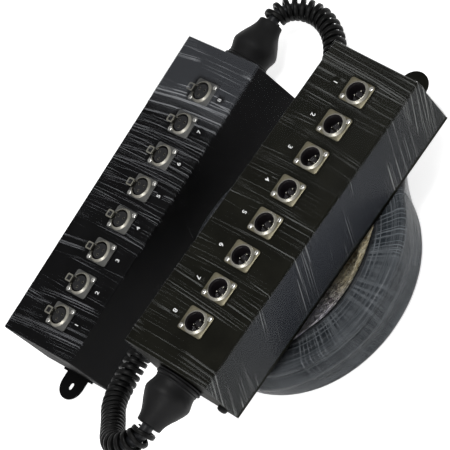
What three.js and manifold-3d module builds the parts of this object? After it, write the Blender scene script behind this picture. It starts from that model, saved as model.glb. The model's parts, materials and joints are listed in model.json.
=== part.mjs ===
// Stage box snake: a stage box with eight female sockets and a desk box with eight male
// sockets, joined by one coiled multicore cable. Millimetres, +Z up.
// Origin: centre of the stage box's base, on the surface that it stands on.

import * as THREE from 'three';
import { mergeVertices } from 'three/addons/utils/BufferGeometryUtils.js';
import Module from 'manifold-3d';

const wasm = await Module();
wasm.setup();

// Fits shared by all pieces
const seatGap = 0.3; // between a piece and the piece that it rests on
const slideGap = 0.35; // around a piece that slides or drops in
const cutOver = 1; // a cut runs this far past the face that it opens

// Box of folded sheet steel
const boxWidth = 110;
const boxLength = 358;
const boxDepth = 76;
const sheet = 1.5;
const baseSheet = 2;
const baseLipHeight = 11;
const baseLipSheet = 1.2;
const baseLipLength = 250;

// Corner posts inside the cover, with the base screws
const postSize = 9;
const postHeight = 16;
const screwHeadRadius = 3.1;
const screwHeadDepth = 1.2;
const screwRecess = 0.35;
const screwShankRadius = 1.5;
const screwLength = 9;

// Hanging tab of the base plate
const tabShoulderWidth = 46;
const tabShoulderReach = 2.3;
const tabWidth = 33;
const tabReach = 29;
const tabSlotWidth = 5.8;
const tabSlotLength = 8;
const tabSlotReach = 14.5;

// Row of panel sockets
const socketCount = 8;
const firstSocketMargin = 37.2; // from the tab end
const lastSocketMargin = 49.2; // from the cable end
const stageRowX = 8.5;
const deskRowX = -4.4;
const panelHoleRadius = 12.05;

// Panel socket shell, the same flange on both kinds
const flangeAcross = 31;
const flangeAlong = 26;
const flangeCorner = 2.6;
const flangeSheet = 1.6;
const rimFootRadius = 12.7;
const rimRadius = 12;
const rimHeight = 2.4;
const barrelDepth = 19;
const flangeScrewAcross = 12;
const flangeScrewAlong = 9.5;
const flangeScrewRadius = 2.6;
const flangeScrewHeight = 1;

// Female socket
const femaleFlangeShift = 1.6; // the bore sits nearer to the release tab
const femaleBore = 10;
const femaleNose = 8.5;
const femaleNoseSunk = 1; // below the rim
const femaleFloor = 10;
const contactCircle = 4.4;
const contactRadius = 1.35;
const contactDepth = 7;

// Release tab of the female socket
const latchTravel = 1.6;
const latchPlateWidth = 8.6;
const latchPlateReach = 19.2;
const latchPlateSheet = 1.5;
const latchRidges = 3;
const latchRidgeSpacing = 2.3;
const latchRidgeWidth = 0.9;
const latchRidgeHeight = 0.5;
const latchStemWidth = 6.2;
const latchStemSheet = 0.9;
const latchStemDepth = 9;
const latchSlotDepth = 11.6;

// Male socket
const maleBore = 10;
const maleMouth = 11.5;
const maleMouthDepth = 2.2;
const maleFloor = 10.5;
const pinRadius = 1.2;
const pinLength = 8.4;

// Insert body that holds the contacts, behind the floor of either socket
const insertDepth = 7;

// Cable gland in the box end, with its nut and the bell-shaped rubber boot
const glandHeight = 38;
const glandThreadRadius = 10;
const glandThreadInside = 12;
const glandFlangeRadius = 13;
const glandFlangeSheet = 3;
const glandDomeRadius = 11;
const glandDomeReach = 8;
const glandWall = 1.5;
const glandNutRadius = 14.5;
const glandNutSheet = 4.5;
const bootRadius = 25;
const bootLength = 55;
// How far along the boot, and how much of its radius
const bootOutlineShares = [
  [0, 0.93], [0.03, 1], [0.1, 1], [0.13, 0.88], [0.22, 0.9], [0.4, 1],
  [0.52, 0.93], [0.65, 0.79], [0.81, 0.61], [0.92, 0.54], [1, 0.52],
];

// Multicore cable
const cableDiameter = 12.5;
const cableGap = 0.3; // between the faces where two lengths of cable meet

// Wiring inside each box
const loomWireRadius = 2;

// Coil of cable, wound in four layers
const coilCentreX = 210;
const coilCentreY = 21;
const coilOuterRadius = 127.3;
const coilRadialPitch = 13.1;
const coilLayerPitch = 13.6;
const coilLayers = 4;
const coilStartDegrees = 45;
const coilTurns = 12.625;
const coilStepsPerTurn = 24;
const coilSides = 6;
const coilClimbTurns = 0.5;
const filmAllowance = 0.9; // the stretch film round the coil lies in this space

// Spiral bend protectors round the cable at both glands, of a flat plastic band
const spiralBand = 3.4; // along the cable
const spiralThickness = 4;
const spiralRadius = 10.5;
const spiralPitch = 7.8;
const spiralStepsPerCurl = 8;
const stageSpiralCurls = 16;
const deskSpiralCurls = 34;

// Pose of the desk box, which leans on the coil and on its own lead. The rest point is
// where its base meets the coil's outer loop
const deskX = 234.1;
const deskY = 35.3;
const deskRollDegrees = -3.04;
const deskPitchDegrees = 8.23;
const deskTurnDegrees = -1.44;
const deskRestX = 288.9;
const deskRestY = 120.7;

// Route of the stage lead, after its straight start at the boot
const stageRoute = [
  [0.7, 245, 37.4], [4.2, 252.8, 35], [11, 260, 30.4], [21, 264.5, 24.6], [33, 265.5, 19],
  [46, 262, 15.5], [58, 255.5, 13.6], [69, 246.5, 13.2], [78, 236, 13.2], [84.5, 223, 13.2],
  [88.5, 208, 13.2], [90, 185, 12.3], [89.3, 170, 10.6], [88.2, 155, 8.8], [86.8, 138, 7.2], [85.2, 112, 6.4],
  [84, 84, 6.3], [83, 58, 6.3],
];

// Route of the desk lead, after its straight start at the boot
const deskRoute = [
  [234.6, -207.5, 117], [230.8, -215, 117.5], [224, -221.5, 117], [214.5, -226, 114.8],
  [203, -227, 110.5], [190, -223.5, 103], [175, -215.5, 93.5], [160, -206.5, 85], [146.5, -197, 79],
  [136, -185, 73.5], [129.3, -169.5, 68.8],
  [125.8, -153, 66.8], [125.2, -137, 66.8], [129.5, -122, 67], [139, -110, 67], [152.5, -100, 67],
  [166.5, -89, 67.1], [177, -76.5, 67], [184, -61, 66], [188, -44, 64.6], [190, -22, 62.8],
  [190.5, 8, 61.4], [190, 40, 60.9], [189, 72, 60.8], [188.5, 100, 60.9], [189.5, 126, 60.8],
  [195, 150, 57.5], [208, 166, 53.5], [227, 174.5, 50], [248, 171, 48], [265.5, 156, 47.2],
  [279.5, 135.5, 47.1],
];
const leadStraight = 5; // straight start of each lead, out of its boot
const stageLeadSteps = 22;
const deskLeadSteps = 38;
const leadSides = 8;

// Facets of round pieces
const fineFacets = 10;
const coarseFacets = 6;
const bootFacets = 12;
const nutFacets = 6;
const cornerFacets = 1;
const tabFacets = 8;

// Worked out from the sizes above
const cableRadius = cableDiameter / 2;
const innerLength = boxLength / 2 - sheet;
const barrelRadius = panelHoleRadius - slideGap;
const shellTop = seatGap + flangeSheet + rimHeight;
const femaleTop = shellTop - femaleNoseSunk;
const exitReach = boxLength / 2 + seatGap + bootLength + cableGap;
const coilBottomZ = cableRadius;
const coilTop = coilBottomZ + (coilLayers - 1) * coilLayerPitch + cableRadius;

const paint = { color: 0x17181a, roughness: 0.45, metalness: 0.3 };
const looks = {
  black_paint: new THREE.MeshStandardMaterial(paint),
  nickel: new THREE.MeshStandardMaterial({ color: 0x8f8b78, roughness: 0.32, metalness: 0.9 }),
  black_plastic: new THREE.MeshStandardMaterial({ color: 0x0c0c0d, roughness: 0.55 }),
  rubber: new THREE.MeshStandardMaterial({ color: 0x101011, roughness: 0.75 }),
  cable_jacket: new THREE.MeshStandardMaterial({ color: 0x1b1d20, roughness: 0.6 }),
  spiral_plastic: new THREE.MeshStandardMaterial({ color: 0x0b0b0c, roughness: 0.5 }),
};

const part = new THREE.Group();

// Shapes as solids

// The radius of a faceted hole whose flats clear a round piece
function around(radius, facets) {
  return (radius + slideGap) / Math.cos(Math.PI / facets);
}

function signedVolume(points, faces) {
  const a = new THREE.Vector3();
  const b = new THREE.Vector3();
  const c = new THREE.Vector3();
  let sum = 0;
  for (let i = 0; i < faces.length; i += 3) {
    a.fromArray(points, 3 * faces[i]);
    b.fromArray(points, 3 * faces[i + 1]);
    c.fromArray(points, 3 * faces[i + 2]);
    sum += a.dot(b.cross(c));
  }
  return sum;
}

function solid(geometry) {
  const bare = geometry.clone();
  bare.deleteAttribute('normal');
  bare.deleteAttribute('uv');
  const merged = mergeVertices(bare);
  const vertProperties = new Float32Array(merged.attributes.position.array);
  const triVerts = new Uint32Array(merged.index.array);
  if (signedVolume(vertProperties, triVerts) < 0) triVerts.reverse();
  return new wasm.Manifold(new wasm.Mesh({ numProp: 3, vertProperties, triVerts }));
}

function geometryOf(manifold) {
  const mesh = manifold.getMesh();
  const geometry = new THREE.BufferGeometry();
  geometry.setAttribute('position', new THREE.BufferAttribute(mesh.vertProperties, 3));
  geometry.setIndex(new THREE.BufferAttribute(mesh.triVerts, 1));
  return geometry;
}

function block(x0, x1, y0, y1, z0, z1) {
  const geometry = new THREE.BoxGeometry(x1 - x0, y1 - y0, z1 - z0);
  geometry.translate((x0 + x1) / 2, (y0 + y1) / 2, (z0 + z1) / 2);
  return solid(geometry);
}

// A cylinder along Z; the half-step turn puts a flat, not a corner, across X
function rod(radius, x, y, z0, z1, facets, topRadius = radius) {
  const geometry = new THREE.CylinderGeometry(topRadius, radius, z1 - z0, facets);
  geometry.rotateX(Math.PI / 2);
  geometry.rotateZ(Math.PI / facets);
  geometry.translate(x, y, (z0 + z1) / 2);
  return solid(geometry);
}

// A cylinder along Y, centred on the gland's axis
function endRod(radius, y0, y1, facets, topRadius = radius) {
  const geometry = new THREE.CylinderGeometry(topRadius, radius, y1 - y0, facets);
  geometry.translate(0, (y0 + y1) / 2, glandHeight);
  return solid(geometry);
}

function roundedPlate(width, length, corner, z0, z1) {
  const shape = new THREE.Shape();
  const x = width / 2;
  const y = length / 2;
  shape.moveTo(x, y - corner);
  shape.absarc(x - corner, y - corner, corner, 0, Math.PI / 2);
  shape.absarc(corner - x, y - corner, corner, Math.PI / 2, Math.PI);
  shape.absarc(corner - x, corner - y, corner, Math.PI, 1.5 * Math.PI);
  shape.absarc(x - corner, corner - y, corner, 1.5 * Math.PI, 2 * Math.PI);
  const options = { depth: z1 - z0, bevelEnabled: false, curveSegments: cornerFacets };
  const geometry = new THREE.ExtrudeGeometry(shape, options);
  geometry.translate(0, 0, z0);
  return solid(geometry);
}

function place(parent, name, look, manifold) {
  const mesh = new THREE.Mesh(geometryOf(manifold), looks[look]);
  mesh.name = name;
  parent.add(mesh);
  return mesh;
}

// Folded cover, open at the back

function postCentres() {
  const x = boxWidth / 2 - sheet - postSize / 2;
  const y = innerLength - postSize / 2;
  return [[x, y], [-x, y], [x, -y], [-x, -y]];
}

function socketCentres() {
  const first = firstSocketMargin - boxLength / 2;
  const last = boxLength / 2 - lastSocketMargin;
  const spacing = (last - first) / (socketCount - 1);
  return Array.from({ length: socketCount }, (_, i) => first + i * spacing);
}

function coverSolid(rowX) {
  const x = boxWidth / 2;
  const y = boxLength / 2;
  const bottom = baseSheet + seatGap;
  const ceiling = boxDepth - sheet;
  let cover = block(-x, x, -y, y, bottom, boxDepth);
  cover = cover.subtract(block(sheet - x, x - sheet, sheet - y, y - sheet, bottom - cutOver, ceiling));
  for (const [px, py] of postCentres()) {
    const h = postSize / 2 + seatGap; // sinks the post into the walls
    const cx = px + Math.sign(px) * (seatGap / 2);
    const cy = py + Math.sign(py) * (seatGap / 2);
    cover = cover.add(block(cx - h, cx + h, cy - h, cy + h, bottom, bottom + postHeight));
    const pilot = screwShankRadius + slideGap;
    cover = cover.subtract(rod(pilot, px, py, bottom - cutOver, bottom + screwLength, coarseFacets));
  }
  for (const sy of socketCentres()) {
    const hole = rod(panelHoleRadius, rowX, sy, ceiling - cutOver, boxDepth + cutOver, fineFacets);
    cover = cover.subtract(hole);
  }
  return cover.subtract(endRod(glandThreadRadius + slideGap, innerLength - cutOver, y + cutOver, fineFacets));
}

// Base plate with its lips, its hanging tab and its screws

function tabSolid() {
  const end = -boxLength / 2;
  const shape = new THREE.Shape();
  const half = tabWidth / 2;
  const root = end + baseLipHeight;
  shape.moveTo(half, root);
  shape.lineTo(-half, root);
  shape.lineTo(-half, end - tabReach + half);
  shape.absarc(0, end - tabReach + half, half, Math.PI, 2 * Math.PI);
  const slot = new THREE.Path();
  const r = tabSlotWidth / 2;
  const straight = tabSlotLength / 2 - r;
  const centre = end - tabSlotReach;
  slot.absarc(0, centre + straight, r, 0, Math.PI);
  slot.absarc(0, centre - straight, r, Math.PI, 2 * Math.PI);
  shape.holes.push(slot);
  const options = { depth: baseSheet, bevelEnabled: false, curveSegments: tabFacets };
  return solid(new THREE.ExtrudeGeometry(shape, options));
}

function baseSolid() {
  const x = boxWidth / 2;
  const y = boxLength / 2;
  let base = block(-x, x, -y, y, 0, baseSheet);
  base = base.add(block(-tabShoulderWidth / 2, tabShoulderWidth / 2, -y - tabShoulderReach, 0, 0, baseSheet));
  base = base.add(tabSolid());
  const lipOut = x - sheet - slideGap;
  const lipY = baseLipLength / 2;
  for (const side of [-1, 1]) {
    const a = side * lipOut;
    const b = side * (lipOut - baseLipSheet);
    const lipTop = baseSheet + baseLipHeight;
    base = base.add(block(Math.min(a, b), Math.max(a, b), -lipY, lipY, baseSheet / 2, lipTop));
  }
  for (const [px, py] of postCentres()) {
    const recess = rod(screwHeadRadius + screwRecess, px, py, -cutOver, screwHeadDepth, coarseFacets);
    base = base.subtract(recess);
    base = base.add(rod(screwHeadRadius, px, py, screwRecess, screwHeadDepth + screwRecess, coarseFacets));
    base = base.add(rod(screwShankRadius, px, py, screwHeadDepth, screwLength, coarseFacets));
  }
  return base;
}

// Panel sockets: the local origin is on the panel's face, on the socket's axis

function flangeWithBarrel(bore, shift) {
  const top = flangeSheet + seatGap;
  const middle = top - flangeSheet / 2;
  let shell = roundedPlate(flangeAcross, flangeAlong, flangeCorner, seatGap, top);
  for (const side of [-1, 1]) {
    const x = side * flangeScrewAcross;
    const y = side * flangeScrewAlong;
    const domeRadius = flangeScrewRadius - flangeScrewHeight / 2;
    const domeTop = top + flangeScrewHeight;
    shell = shell.add(rod(flangeScrewRadius, x, y, middle, domeTop, coarseFacets, domeRadius));
  }
  shell = shell.translate([shift, 0, 0]);
  shell = shell.add(rod(rimFootRadius, 0, 0, middle, shellTop, fineFacets, rimRadius));
  shell = shell.add(rod(barrelRadius, 0, 0, -barrelDepth, middle, fineFacets));
  return shell.subtract(rod(bore, 0, 0, -barrelDepth - cutOver, shellTop + cutOver, fineFacets));
}

function femaleShell() {
  const top = flangeSheet + seatGap;
  const slotHalf = latchStemWidth / 2 + slideGap;
  const windowHalf = latchPlateWidth / 2 + slideGap;
  const barrelEdge = -barrelRadius - slideGap;
  const flangeEdge = femaleFlangeShift - flangeAcross / 2 - cutOver;
  const slot = block(barrelEdge, -femaleNose, -slotHalf, slotHalf, -latchSlotDepth, top + cutOver);
  const window = block(flangeEdge, -femaleNose, -windowHalf, windowHalf, top, shellTop + cutOver);
  return flangeWithBarrel(femaleBore, femaleFlangeShift).subtract(slot).subtract(window);
}

function maleShell() {
  const mouth = rod(maleBore, 0, 0, shellTop - maleMouthDepth, shellTop + seatGap, fineFacets, maleMouth);
  return flangeWithBarrel(maleBore, 0).subtract(mouth);
}

function contactCentres() {
  return [150, 30, 270].map((degrees) => {
    const angle = THREE.MathUtils.degToRad(degrees);
    return [contactCircle * Math.cos(angle), contactCircle * Math.sin(angle)];
  });
}

function femaleInsert() {
  const rear = femaleBore - slideGap;
  let insert = rod(rear, 0, 0, -femaleFloor - insertDepth, -femaleFloor, fineFacets);
  insert = insert.add(rod(femaleNose, 0, 0, -femaleFloor - insertDepth / 2, femaleTop, fineFacets));
  const contactFloor = femaleTop - contactDepth;
  for (const [x, y] of contactCentres()) {
    const hole = rod(contactRadius, x, y, contactFloor, femaleTop + cutOver, nutFacets);
    insert = insert.subtract(hole);
  }
  return insert;
}

function latchSolid() {
  const plateZ = flangeSheet + seatGap + latchTravel + slideGap;
  const plateTop = plateZ + latchPlateSheet;
  const plateMiddle = plateZ + latchPlateSheet / 2;
  const stemX = -femaleBore - slideGap / 2;
  const plateY = latchPlateWidth / 2;
  const stemY = latchStemWidth / 2;
  const plate = block(-latchPlateReach, stemX, -plateY, plateY, plateZ, plateTop);
  const stem = block(stemX - latchStemSheet, stemX, -stemY, stemY, -latchStemDepth, plateMiddle);
  let latch = plate.add(stem);
  for (let i = 1; i <= latchRidges; i += 1) {
    const x = -latchPlateReach + i * latchRidgeSpacing - latchRidgeWidth;
    const y = plateY - latchRidgeWidth;
    const ridge = block(x, x + latchRidgeWidth, -y, y, plateMiddle, plateTop + latchRidgeHeight);
    latch = latch.add(ridge);
  }
  return latch;
}

function maleInsert() {
  const body = maleBore - slideGap;
  let insert = rod(body, 0, 0, -maleFloor - insertDepth, -maleFloor, fineFacets);
  const tip = pinLength - maleFloor;
  for (const [x, y] of contactCentres()) {
    insert = insert.add(rod(pinRadius, x, y, -maleFloor - insertDepth / 2, tip, coarseFacets));
  }
  return insert;
}

function addSockets(parent, label, rowX, makeShell, makeInsert, withLatch) {
  socketCentres().forEach((y, i) => {
    const number = i + 1;
    const socket = new THREE.Group();
    socket.position.set(rowX, y, boxDepth);
    place(socket, `${label}_shell_${number}`, 'nickel', makeShell());
    place(socket, `${label}_insert_${number}`, 'black_plastic', makeInsert());
    if (withLatch) place(socket, `stage_latch_${number}`, 'nickel', latchSolid());
    parent.add(socket);
  });
}

// Cable entry in the +Y end: gland, nut and boot

function glandSolid() {
  const face = boxLength / 2 + seatGap;
  const flangeEnd = face + glandFlangeSheet;
  const start = innerLength - glandThreadInside;
  const bore = around(cableRadius, fineFacets);
  let gland = endRod(glandThreadRadius, start, face + glandFlangeSheet / 2, fineFacets);
  gland = gland.add(endRod(glandFlangeRadius, face, flangeEnd, fineFacets));
  const domeStart = flangeEnd - glandFlangeSheet / 2;
  const domeEnd = flangeEnd + glandDomeReach;
  gland = gland.add(endRod(glandDomeRadius, domeStart, domeEnd, fineFacets, bore + glandWall));
  return gland.subtract(endRod(bore, start - cutOver, domeEnd + cutOver, fineFacets));
}

function glandNutSolid() {
  const seat = innerLength - seatGap;
  const nut = endRod(glandNutRadius, seat - glandNutSheet, seat, nutFacets);
  const hole = glandThreadRadius + slideGap;
  return nut.subtract(endRod(hole, seat - glandNutSheet - cutOver, seat + cutOver, fineFacets));
}

function bootSolid() {
  const start = boxLength / 2 + seatGap;
  const end = start + bootLength;
  const bore = around(cableRadius, bootFacets);
  const cavity = around(glandFlangeRadius, bootFacets);
  const cavityEnd = start + glandFlangeSheet + glandDomeReach + slideGap;
  const outline = bootOutlineShares.map(([along, wide]) => [bootRadius * wide, start + bootLength * along]);
  const hollow = [[bore, end], [bore, cavityEnd], [cavity, cavityEnd], [cavity, start], outline[0]];
  const profile = [...outline, ...hollow].map(([r, y]) => new THREE.Vector2(r, y));
  const geometry = new THREE.LatheGeometry(profile, bootFacets);
  geometry.translate(0, 0, glandHeight);
  return solid(geometry);
}

// A branch of the loom: sideways out of the trunk, then up to its socket
function loomBranch(x, y, top) {
  const wire = loomWireRadius;
  const left = Math.min(x, 0) - wire;
  const right = Math.max(x, 0) + wire;
  const side = block(left, right, y - wire, y + wire, glandHeight - wire, glandHeight + wire);
  return side.add(block(x - wire, x + wire, y - wire, y + wire, glandHeight, top));
}

// Cable end inside a box: the trunk runs below the sockets, one branch rises to each
function loomSolid(insertFloor, rowX) {
  const trunkEnd = socketCentres()[0] - cableDiameter;
  let loom = endRod(cableRadius, trunkEnd, exitReach - cableGap, coarseFacets);
  const top = boxDepth - insertFloor - insertDepth - seatGap;
  for (const y of socketCentres()) {
    loom = loom.add(loomBranch(rowX, y, top));
  }
  return loom;
}

// Sweeps a section along points. A section is a list of offsets: first along the side
// direction given for each point, then across it

function roundSection(radius, facets) {
  return Array.from({ length: facets }, (_, k) => {
    const angle = (2 * Math.PI * k) / facets;
    return [radius * Math.cos(angle), radius * Math.sin(angle)];
  });
}

function flatSection(thickness, width) {
  const a = thickness / 2;
  const b = width / 2;
  return [[a, b], [-a, b], [-a, -b], [a, -b]];
}

function sweepRings(points, sides, section) {
  const positions = [];
  const tangent = new THREE.Vector3();
  const along = new THREE.Vector3();
  const across = new THREE.Vector3();
  points.forEach((point, i) => {
    const before = points[Math.max(i - 1, 0)];
    const after = points[Math.min(i + 1, points.length - 1)];
    tangent.subVectors(after, before).normalize();
    along.copy(sides[i]).addScaledVector(tangent, -sides[i].dot(tangent)).normalize();
    across.crossVectors(tangent, along);
    for (const [a, b] of section) {
      const corner = point.clone().addScaledVector(along, a).addScaledVector(across, b);
      positions.push(corner.x, corner.y, corner.z);
    }
  });
  return positions;
}

function sweep(points, sides, section) {
  const facets = section.length;
  const last = (points.length - 1) * facets;
  const faces = [];
  for (let ring = 0; ring < last; ring += facets) {
    for (let k = 0; k < facets; k += 1) {
      const a = ring + k;
      const b = ring + ((k + 1) % facets);
      faces.push(a, b, b + facets, a, b + facets, a + facets);
    }
  }
  for (let k = 1; k < facets - 1; k += 1) {
    faces.push(0, k + 1, k, last, last + k, last + k + 1);
  }
  const geometry = new THREE.BufferGeometry();
  const positions = sweepRings(points, sides, section);
  geometry.setAttribute('position', new THREE.Float32BufferAttribute(positions, 3));
  geometry.setIndex(faces);
  return solid(geometry);
}

// Least gap of a tube to itself, from point to point
function leastGap(points, width, apart) {
  let least = Infinity;
  for (let i = 0; i < points.length; i += 1) {
    for (let j = i + apart; j < points.length; j += 1) {
      least = Math.min(least, points[i].distanceTo(points[j]));
    }
  }
  return least - width;
}

// Coil: the radius falls and rises steadily, and the cable drops a layer at each reversal

function coilPoint(turn) {
  const perLayer = coilTurns / coilLayers;
  const phase = turn % (2 * perLayer);
  const inward = phase < perLayer ? phase : 2 * perLayer - phase;
  const radius = coilOuterRadius - coilRadialPitch * inward;
  let layer = coilLayers - 1;
  for (let k = 1; k < coilLayers; k += 1) {
    const climbed = (turn - k * perLayer) / coilClimbTurns + 1 / 2;
    layer -= THREE.MathUtils.smoothstep(climbed, 0, 1);
  }
  const angle = THREE.MathUtils.degToRad(coilStartDegrees) - 2 * Math.PI * turn;
  const z = coilBottomZ + layer * coilLayerPitch;
  const x = coilCentreX + radius * Math.cos(angle);
  return new THREE.Vector3(x, coilCentreY + radius * Math.sin(angle), z);
}

function coilEnd(turn, outward) {
  const angle = THREE.MathUtils.degToRad(coilStartDegrees) - 2 * Math.PI * turn;
  const along = new THREE.Vector3(-Math.sin(angle), Math.cos(angle), 0).multiplyScalar(outward);
  return coilPoint(turn).addScaledVector(along, cableDiameter);
}

function coilPath() {
  const steps = Math.round(coilTurns * coilStepsPerTurn);
  const points = [coilEnd(0, 1)];
  for (let i = 0; i <= steps; i += 1) points.push(coilPoint(i / coilStepsPerTurn));
  points.push(coilEnd(coilTurns, -1));
  return points;
}

function addCoil() {
  const points = coilPath();
  const upright = points.map(() => new THREE.Vector3(0, 0, 1));
  console.log('cable_coil least gap mm', leastGap(points, cableDiameter, coilStepsPerTurn / 2).toFixed(2));
  place(part, 'cable_coil', 'cable_jacket', sweep(points, upright, roundSection(cableRadius, coilSides)));
}

// Leads and their spirals

function leadCurve(start, direction, route, end, endDirection) {
  const points = [start, start.clone().addScaledVector(direction, leadStraight)];
  for (const spot of route) points.push(new THREE.Vector3(...spot));
  points.push(end.clone().addScaledVector(endDirection, -leadStraight), end);
  const curve = new THREE.CatmullRomCurve3(points, false, 'centripetal');
  curve.arcLengthDivisions = 20 * points.length;
  return curve;
}

function leadSolid(curve, steps) {
  const shape = new THREE.Shape();
  shape.absarc(0, 0, cableRadius, 0, 2 * Math.PI);
  const section = new THREE.Shape(shape.getPoints(leadSides).slice(0, leadSides));
  return solid(new THREE.ExtrudeGeometry(section, { steps, bevelEnabled: false, extrudePath: curve }));
}

// One band: straight out of the boot, then its curls round the lead, then a straight end
function spiralPath(curve, curls) {
  const length = curve.getLength();
  const frames = curve.computeFrenetFrames(Math.round(length), false);
  const points = [];
  const sides = [];
  const mark = (along, turn) => {
    const share = along / length;
    const index = Math.round(share * Math.round(length));
    const side = new THREE.Vector3();
    side.addScaledVector(frames.normals[index], Math.cos(2 * Math.PI * turn));
    side.addScaledVector(frames.binormals[index], Math.sin(2 * Math.PI * turn));
    points.push(curve.getPointAt(share).addScaledVector(side, spiralRadius));
    sides.push(side);
  };
  mark(0, 0);
  const begin = spiralBand;
  const steps = curls * spiralStepsPerCurl;
  for (let i = 0; i <= steps; i += 1) {
    const turn = i / spiralStepsPerCurl;
    mark(begin + turn * spiralPitch, turn);
  }
  mark(2 * begin + curls * spiralPitch, curls);
  return { points, sides };
}

function addLead(name, curve, steps, curls) {
  place(part, `${name}_lead`, 'cable_jacket', leadSolid(curve, steps));
  const { points, sides } = spiralPath(curve, curls);
  const outer = points.map((point, i) => point.clone().addScaledVector(sides[i], spiralThickness / 2));
  const gap = leastGap(outer, spiralBand, spiralStepsPerCurl / 2);
  console.log(`${name}_spiral least gap mm`, gap.toFixed(2), 'lead length', curve.getLength().toFixed(1));
  const band = sweep(points, sides, flatSection(spiralThickness, spiralBand));
  place(part, `${name}_spiral`, 'spiral_plastic', band);
}

// A box: the same casing, entry and wiring round either kind of socket

function addCasing(parent, name, insertFloor, rowX) {
  place(parent, `${name}_cover`, 'black_paint', coverSolid(rowX));
  place(parent, `${name}_base_plate`, 'black_paint', baseSolid());
  place(parent, `${name}_gland`, 'black_plastic', glandSolid());
  place(parent, `${name}_gland_nut`, 'black_plastic', glandNutSolid());
  place(parent, `${name}_boot`, 'rubber', bootSolid());
  place(parent, `${name}_loom`, 'cable_jacket', loomSolid(insertFloor, rowX));
}

const stageBox = new THREE.Group();
part.add(stageBox);
addCasing(stageBox, 'stage', femaleFloor, stageRowX);
addSockets(stageBox, 'stage_socket', stageRowX, femaleShell, femaleInsert, true);

const deskBox = new THREE.Group();
const lean = [deskRollDegrees, deskPitchDegrees, deskTurnDegrees].map(THREE.MathUtils.degToRad);
deskBox.rotation.set(...lean, 'ZYX');
const deskUp = new THREE.Vector3(0, 0, 1).applyEuler(deskBox.rotation);
const deskRestZ = coilTop + filmAllowance + seatGap;
const restDrop = (deskRestX - deskX) * deskUp.x + (deskRestY - deskY) * deskUp.y;
deskBox.position.set(deskX, deskY, deskRestZ + restDrop / deskUp.z);
part.add(deskBox);
const deskTurned = new THREE.Group();
deskTurned.rotation.z = Math.PI;
deskBox.add(deskTurned);
addCasing(deskTurned, 'desk', maleFloor, deskRowX);
addSockets(deskTurned, 'desk_socket', deskRowX, maleShell, maleInsert, false);

// The cable, from the stage box through the coil to the desk box

part.updateMatrixWorld(true);
addCoil();

const stageExit = new THREE.Vector3(0, exitReach, glandHeight);
const stageOut = new THREE.Vector3(0, 1, 0);
const coilFoot = coilEnd(coilTurns, -1);
const footIn = coilPoint(coilTurns).sub(coilFoot).normalize();
const stageEnd = coilFoot.clone().addScaledVector(footIn, -cableGap);
const stageCurve = leadCurve(stageExit, stageOut, stageRoute, stageEnd, footIn);
addLead('stage', stageCurve, stageLeadSteps, stageSpiralCurls);

const deskExit = new THREE.Vector3(0, exitReach, glandHeight).applyMatrix4(deskTurned.matrixWorld);
const deskOut = new THREE.Vector3(0, 1, 0).transformDirection(deskTurned.matrixWorld);
const coilHead = coilEnd(0, 1);
const headIn = coilPoint(0).sub(coilHead).normalize();
const deskEnd = coilHead.clone().addScaledVector(headIn, -cableGap);
const deskCurve = leadCurve(deskExit, deskOut, deskRoute, deskEnd, headIn);
addLead('desk', deskCurve, deskLeadSteps, deskSpiralCurls);

export default part;
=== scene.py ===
# Looks of the stage box snake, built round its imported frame. Blender works in metres;
# the outlines of small pieces are written in millimetres and scaled once, by MM.
import json
from math import copysign, cos, pi, radians, sin, sqrt, tau

import bmesh
import bpy
import numpy as np
from mathutils import Matrix, Vector


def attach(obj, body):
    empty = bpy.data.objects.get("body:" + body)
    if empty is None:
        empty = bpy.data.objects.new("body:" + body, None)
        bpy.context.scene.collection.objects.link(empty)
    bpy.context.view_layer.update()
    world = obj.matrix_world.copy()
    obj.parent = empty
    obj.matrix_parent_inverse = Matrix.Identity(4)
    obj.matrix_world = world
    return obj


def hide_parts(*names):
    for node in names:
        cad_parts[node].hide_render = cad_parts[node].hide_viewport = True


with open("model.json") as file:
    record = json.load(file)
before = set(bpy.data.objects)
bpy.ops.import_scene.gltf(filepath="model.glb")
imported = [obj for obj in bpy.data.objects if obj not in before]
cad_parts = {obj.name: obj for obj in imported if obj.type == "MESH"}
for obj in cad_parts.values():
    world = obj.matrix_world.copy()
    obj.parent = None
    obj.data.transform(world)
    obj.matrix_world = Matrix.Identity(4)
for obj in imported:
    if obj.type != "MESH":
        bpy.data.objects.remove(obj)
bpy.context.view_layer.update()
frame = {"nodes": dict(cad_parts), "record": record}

MM = 0.001
SEED = 7

# Sizes that the source also uses, in millimetres
BOX_WIDTH = 110
BOX_LENGTH = 358
BOX_DEPTH = 76
SOCKETS = range(1, 9)
FIRST_SOCKET_MARGIN = 37.2  # from the tab end
LAST_SOCKET_MARGIN = 49.2  # from the cable end
ROW_X = {"stage": 8.5, "desk": -4.4}
GLAND_HEIGHT = 38
SEAT_GAP = 0.3
PANEL_TOP = 1.9  # top of a socket's flange above the panel

# Cable, in metres
CABLE_RADIUS = 0.00625
STAGE_EXIT = (0, 0.2346, 0.038)
LEAD_STRAIGHT = 0.005  # straight start of each lead, out of its boot
INSIDE_BOOT = 0.006  # how far each end reaches into its boot
COIL_CENTRE = (0.210, 0.021)
COIL_RADIUS = 0.1273
COIL_RADIAL_PITCH = 0.0131
COIL_LAYER_PITCH = 0.0136
COIL_LAYERS = 4
COIL_START_DEGREES = 45
COIL_TURNS = 12.625
COIL_CLIMB_TURNS = 0.5
SPIRAL_RADIUS = 0.0105
SPIRAL_PITCH = 0.0078
SPIRAL_START = 0.0034
SPIRAL_CURLS = {"stage": 16, "desk": 34}

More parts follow.
